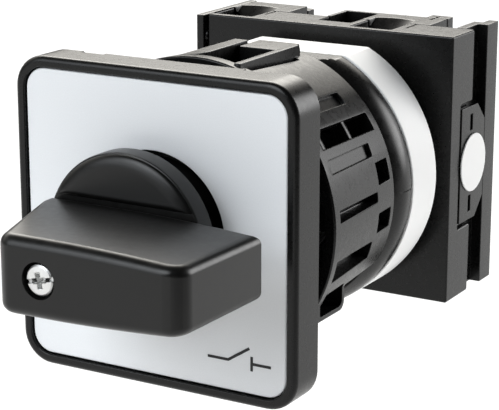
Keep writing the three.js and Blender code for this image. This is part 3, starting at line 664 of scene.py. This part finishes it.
def cup():
    web = 2.4
    side = [(FRONT_R - 0.3, CUP_FRONT), (FRONT_R - 0.08, CUP_FRONT + 0.1), (FRONT_R, CUP_FRONT + 0.3)]
    side += [(FRONT_R + (BACK_R - FRONT_R) * k / 6, CUP_FRONT + (CUP_BACK - CUP_FRONT) * k / 6)
             for k in range(1, 6)]
    side += [(BACK_R, CUP_BACK - 0.25), (BACK_R - 0.25, CUP_BACK)]
    outline = [(FRONT_R - CUP_WALL, CUP_FRONT)] + side + [
        (12, CUP_BACK), (12, 12), (13.6, 12), (13.6, CUP_BACK - web), (BACK_R - CUP_WALL, CUP_BACK - web)]
    ob = lathe("cup_shell", outline, STEPS)
    walls = [foot()]
    walls += [sector(20.35, 22.3, low - 3, high + 3, y0 - 1, y1 + 1) for low, high, y0, y1 in SCOOPS]
    ob = join(ob, *[t for w in walls for t in (w, mirrored(w, "X"))])
    tools = [sector(CUT_IN, CUT_OUT, a0, a1, y0, y1) for a0, a1, y0, y1 in SLOTS]
    tools.append(sector(CUT_IN, CUT_OUT, 29.5, 36.9, 7.2, 26))
    tools += [groove(*g) for g in GROOVES] + [scoop(*s) for s in SCOOPS] + [foot_pocket()]
    tools += [mirrored(t, "X") for t in tools]
    tools.append(sector(20.6, 26, -152, -28, 15, 29, 60))
    ob = cut(ob, *tools)
    ribs = []
    for y in (9.2, 17.6):
        rib = sector(20.2, 22.6, 28.5, 37.9, y, y + 1)
        ribs += [rib, mirrored(rib, "X")]
    right_rail = [(6.6, 20.3), (24.3, 20.3), (24.9, 20.9), (24.9, 22.7), (24.3, 23.3), (6.6, 23.3)]
    rails = [box((-4.3, -1.9), (6.6, 24.3), (20.3, 23.3)), prism_x(right_rail, 6, 7.15)]
    ob = join(ob, *ribs, *rails)
    ob = cut(ob, box((-1.9, 6), (7.8, 22.5), (17, 30)), box((-1.9, 6), (21.5, 29), (20.6, 30)),
             *(bar(1.7, 24, 29, (x, 0)) for x in (SCREW_X, -SCREW_X)))
    return soften(ob, 0.13)


place(cup(), "switch_body", BLACK, "black_plastic", "mounting_cup")


def latch():
    tongue = box((-1.6, 5.7), (21, 27.4), (20.9, 22.9), "cup_latch")
    hook = box((-1.6, 5.7), (21, 22.2), (18.4, 21.9))
    return soften(join(tongue, hook), 0.2)


place(latch(), "switch_body", BLACK, "black_plastic", "adapter_latch")


# ---- flange, drum and neck -----------------------------------------------------------------------
FLAT = 20.3  # height of the flats on the flange and drum, from the axis


def with_flats(ob):
    return cut(ob, *both(box((-30, 30), (20, 60), (FLAT, 40))))


def flange():
    """A rolled rim with one narrow seam at the right."""
    front, back, inner, front_r, spread, bulge, steps = 28.3, 34, 18.9, 21.2, 1.25, 0.6, 20
    outline = [(inner, front)]
    for k in range(steps + 1):
        t = k / steps
        outline.append((front_r + spread * t + bulge * math.sin(math.pi * t), front + (back - front) * t))
    outline.append((inner, back))
    ob = soften(with_flats(lathe("flange_body", outline)), 0.1)
    return cut(ob, sector(22.25, 25, 0.3, 0.7, 29.5, 34.2))


def drum():
    shell = lathe("drum_body", [(4.6, 34.3), (22.5, 34.3), (22.6, 34.4), (22.6, 42.9), (22.5, 43),
                                (18.5, 43), (18.5, 35.8), (4.6, 35.8)])
    ob = cut(with_flats(shell), *(bar(1.6, 33, 37, (x, 0)) for x in (SCREW_X, -SCREW_X)))
    return soften(ob, 0.1)


place(flange(), "switch_body", BLACK, "black_plastic", "flange_ring")
place(drum(), "switch_body", WHITE, "white_plastic", "index_drum")
place(lathe("neck_body", [(4.6, 43.3), (17.9, 43.3), (18, 43.4), (18, 46.3), (17.9, 46.4), (4.6, 46.4)]),
      "switch_body", BLACK, "black_plastic", "index_cover")


# ---- contact block -------------------------------------------------------------------------------
GAP = 0.3
LEFT, RIGHT = extent("front_housing", "X")
FRONT, MIDDLE = extent("front_housing", "Y")
TALL = extent("front_housing", "Z")[1]
BACK, END = extent("rear_cover", "Y")[0] - GAP, extent("rear_cover", "Y")[1]
SLIT = (TALL - 1.2, TALL + 1)
BOLTS = [(18.9, 8), (-19.2, -8)]
FUNNELS = (-18.9, 7.5)


def funnel(x, y0, y1):
    """A shallow cone between side walls, with a rounded back."""
    half, front, middle, top_r, slope, lift, steps = 3.75, 48.2, 52.3, 6.8, 0.65, 1.0, 96
    rings = []
    for r in (0.2, top_r + lift / slope):
        z = TALL - (top_r - r) * slope
        circle = [polar(r, 360 * k / steps) for k in range(steps)]
        rings.append([(x + u, middle + v, z) for u, v in circle])
    dish = loft("tool", rings, ring=False)
    return boolean(dish, [box((x - half, x + half), (max(front, y0), y1), (13, TALL + 2))], "INTERSECT")


def well(x):
    return box((x - 2.7, x + 2.7), (48.2, 54.8), (13.2, TALL + 2))


def rear_notches(y0, y1):
    return [t for x in ((-12, -4.4), (15, 19.9)) for t in both(box(x, (y0, y1), (16.5, TALL + 2)))]


def front_housing():
    ob = box((LEFT, RIGHT), (FRONT, MIDDLE), (-TALL, TALL), "housing_front")
    tools = [box((-16.8, 16.8), (FRONT + 1.6, MIDDLE + 1), (-14.4, 14.4)),
             box((22.3, 24), (50.6, MIDDLE + 1), (-10.6, 10.6)), bar(4.6, 45, 50, steps=64)]
    tools += [t for x in FUNNELS for t in both(funnel(x, FRONT, MIDDLE + 1))]
    tools += [t for x in FUNNELS for t in both(well(x))]
    tools += both(box((-3.7, 2.4), (51.1, MIDDLE + 1), (15, TALL + 2)))
    tools += [bar(1.5, 47.6, MIDDLE + 1, c) for c in BOLTS]
    tools += both(bar(1.8, 11, 14, (FUNNELS[0], 51.8), "Z"))
    ob = soften(cut(ob, *tools), 0.35, 4)
    slits = [t for x in (-14.1, 12.9) for t in both(box((x - 0.2, x + 0.2), (51, 55), SLIT))]
    return cut(ob, *slits)


def rear_housing():
    front = MIDDLE + GAP
    ob = join(box((LEFT, RIGHT), (front, BACK), (-TALL, TALL), "housing_rear"),
              box((RIGHT - 1.8, RIGHT), (BACK - 1, END), (-TALL, TALL)))
    tools = [box((-16.8, 16.8), (front - 1, BACK + 1), (-14.4, 14.4)),
             box((-18, 18), (front - 1, front + 1.1), (-14.4, 14.4)),
             box((RIGHT - 1.8, RIGHT + 1), (54.3, 60.7), (-30, 30))]
    tools += [t for x in FUNNELS for t in both(funnel(x, front - 1, BACK))]
    tools += both(box((-3.7, 2.4), (front - 1, 61.9), (13.2, TALL + 2)))
    tools += [bar(1.5, front - 1, BACK + 1, c) for c in BOLTS]
    ob = soften(cut(ob, *tools, *rear_notches(front - 1, END + 1)), 0.15)
    return cut(ob, *both(box((12.7, 13.1), (60.3, BACK + 1), SLIT)))


def rear_cover():
    y0 = BACK + GAP
    ob = join(box((LEFT, RIGHT - 2.1), (y0, END), (-21.7, 21.7), "block_cover"),
              box((11, 15), (y0, END), (-TALL, TALL)))
    tools = [bar(2.6, END - 1.5, END + 1, c) for c in BOLTS] + [bar(1.5, y0 - 1, END + 1, c) for c in BOLTS]
    ob = soften(cut(ob, *tools, *rear_notches(y0 - 1, END + 1)), 0.2)
    return cut(ob, *both(box((12.7, 13.1), (y0 - 1, 64.3), SLIT)))


place(front_housing(), "switch_body", BLACK, "black_plastic", "front_housing")
place(rear_housing(), "switch_body", BLACK, "black_plastic", "rear_housing")
place(rear_cover(), "switch_body", BLACK, "black_plastic", "rear_cover")


# ---- side fittings -------------------------------------------------------------------------------
def side_clip():
    front, back, h, c = 50.9, 60.4, 9.8, 3.1
    outline = [(front, -h), (back - c, -h), (back, c - h), (back, h - c), (back - c, h), (front, h)]
    ob = prism_x(outline, 22.65, 23.4, "clip_body")
    slots = [box((21, 24), (54.4, 55.4), (s * 7 - 1.4, s * 7 + 1.4)) for s in (-1, 1)]
    return soften(cut(ob, *slots), 0.1)


place(side_clip(), "switch_body", BLACK, "black_plastic", "side_clip")
marker = bar(4.95, 23.45, 23.7, (55.6, 0), "X", 96, "clip_marker")
place(soften(marker, 0.08), "switch_body", WHITE, "white_plastic", "side_marker")


def side_plate():
    ob = box((-25, -23.6), (46.2, 64.8), (-22.35, 22.35), "left_plate")
    pegs = [bar(0.9, -24.1, -23.2, (47.7, s * 18.6), "X", 32) for s in (-1, 1)]
    return soften(join(ob, *pegs), 0.2)


place(side_plate(), "switch_body", BLACK, "black_plastic", "side_plate")


# ---- the other CAD nodes: cleaned, with small rounded edges --------------------------------------
CAD_EDGE = 0.06


def dress(ob, width):
    if "custom_normal" in ob.data.attributes:
        ob.data.attributes.remove(ob.data.attributes["custom_normal"])
    m = ob.modifiers.new("weld", "WELD")
    m.merge_threshold = 1e-6
    m = ob.modifiers.new("flat", "DECIMATE")
    m.decimate_type, m.angle_limit = "DISSOLVE", math.radians(0.5)
    if width:
        m = ob.modifiers.new("edges", "BEVEL")
        m.width, m.segments, m.limit_method = width * MM, 2, "ANGLE"
        m.angle_limit = math.radians(40)
    ob.data.shade_smooth()
    m = ob.modifiers.new("normals", "WEIGHTED_NORMAL")
    m.keep_sharp = True


for name, ob in NODES.items():
    if not ob.hide_render:
        dress(ob, 0 if "spring" in name else CAD_EDGE)


# ---- camera, floor and light ---------------------------------------------------------------------
CAMERA_AT = (141.72, -222.01, 74.17)
AZIMUTH, ELEVATION = math.radians(30.199), math.radians(15.257)
camera = show(bpy.data.objects.new("camera", bpy.data.cameras.new("camera")))
camera.data.lens, camera.data.sensor_width = 132.48, 36
camera.data.clip_start, camera.data.clip_end = 0.01, 20
right = Vector((math.cos(AZIMUTH), math.sin(AZIMUTH), 0))
level = Vector((math.sin(AZIMUTH), -math.cos(AZIMUTH), 0))
back = level * math.cos(ELEVATION) + Vector((0, 0, math.sin(ELEVATION)))
turn = Matrix((right, back.cross(right), back)).transposed().to_4x4()
camera.matrix_world = Matrix.Translation(Vector(CAMERA_AT) * MM) @ turn
bpy.context.scene.camera = camera

FLOOR_Z = -0.09
floor = show(bpy.data.objects.new("floor", bpy.data.meshes.new("floor")))
floor_outline = square(1.6, 0.4)
floor.data.from_pydata([(x, y, FLOOR_Z) for x, y in floor_outline], [], [tuple(range(len(floor_outline)))])
pale = Look("pale_floor")
pale.set(Roughness=0.9, Specular_IOR_Level=0.1, Emission_Strength=FLOOR_GLOW)
floor.data.materials.append(pale.set(Base_Color=(0.6, 0.6, 0.6, 1), Emission_Color=(1, 1, 1, 1)))


def black_card():
    """A curved black card at the right front, unseen by the camera, for dark edges in the gloss."""
    r, start, end, steps, top = 0.36, -60, 20, 12, 0.06
    arc = [polar(r, start + (end - start) * k / steps) for k in range(steps + 1)]
    verts = [(x, y, z) for z in (FLOOR_Z, top) for x, y in arc]
    row = len(arc)
    card = show(bpy.data.objects.new("card", bpy.data.meshes.new("card")))
    card.data.from_pydata(verts, [], [(k, k + 1, k + row + 1, k + row) for k in range(steps)])
    card.visible_camera = False
    matt = Look("black_card")
    card.data.materials.append(matt.set(Base_Color=(0.01, 0.01, 0.01, 1), Roughness=0.9))


black_card()


class Studio:
    """The light from all round, as a world whose brightness depends on direction."""

    def __init__(self):
        world = bpy.data.worlds.new("studio")
        bpy.context.scene.world = world
        world.use_nodes = True
        self.nodes, self.links = world.node_tree.nodes, world.node_tree.links
        self.where = self.nodes.new("ShaderNodeTexCoord").outputs["Generated"]
        self.total = None

    def add(self, mask, colour):
        n = self.nodes.new("ShaderNodeVectorMath")
        n.operation = "SCALE"
        n.inputs[0].default_value = colour
        self.links.new(mask, n.inputs["Scale"])
        if self.total:
            joined = self.nodes.new("ShaderNodeVectorMath")
            joined.operation = "ADD"
            self.links.new(self.total, joined.inputs[0])
            self.links.new(n.outputs[0], joined.inputs[1])
            n = joined
        self.total = n.outputs[0]

    def span(self, value, start, end, high):
        """Rises smoothly from none to a value between two ends."""
        n = self.nodes.new("ShaderNodeMapRange")
        n.interpolation_type = "SMOOTHSTEP"
        for key, v in (("From Min", start), ("From Max", end), ("To Min", 0), ("To Max", high)):
            n.inputs[key].default_value = v
        self.links.new(value, n.inputs["Value"])
        return n.outputs["Result"]

    def towards(self, direction):
        n = self.nodes.new("ShaderNodeVectorMath")
        n.operation = "DOT_PRODUCT"
        n.inputs[1].default_value = direction
        self.links.new(self.where, n.inputs[0])
        return n.outputs["Value"]

    def softbox(self, azimuth, elevation, inner, outer, strength, colour):
        """A round soft light, full inside one angle from its direction and none outside another.
        Angles are in degrees, and azimuth turns from +X towards +Y."""
        x, y = polar(math.cos(math.radians(elevation)), azimuth)
        direction = Vector((x, y, math.sin(math.radians(elevation))))
        edge, core = (math.cos(math.radians(a)) for a in (outer, inner))
        self.add(self.span(self.towards(direction), edge, core, strength), colour)

    def finish(self):
        self.links.new(self.total, self.nodes["Background"].inputs["Color"])


WARM, COOL, NEUTRAL = (1, 0.97, 0.91), (0.92, 0.96, 1), (1, 1, 1)
studio = Studio()
# azimuth, elevation, inner and outer angle, strength, colour
studio.softbox(122, 35, 6, 26, 7.7, WARM)
studio.softbox(98, 25, 4, 15, 2.4, WARM)
studio.softbox(240, 20, 6, 24, 3.7, COOL)
studio.softbox(255, 42, 6, 24, 6.2, COOL)
studio.softbox(50, 15, 6, 24, 8.0, NEUTRAL)
studio.softbox(185, 25, 6, 26, 1.2, WARM)
studio.softbox(150, 30, 5, 20, 2.0, WARM)
studio.finish()

bpy.context.scene.view_settings.view_transform = "Standard"
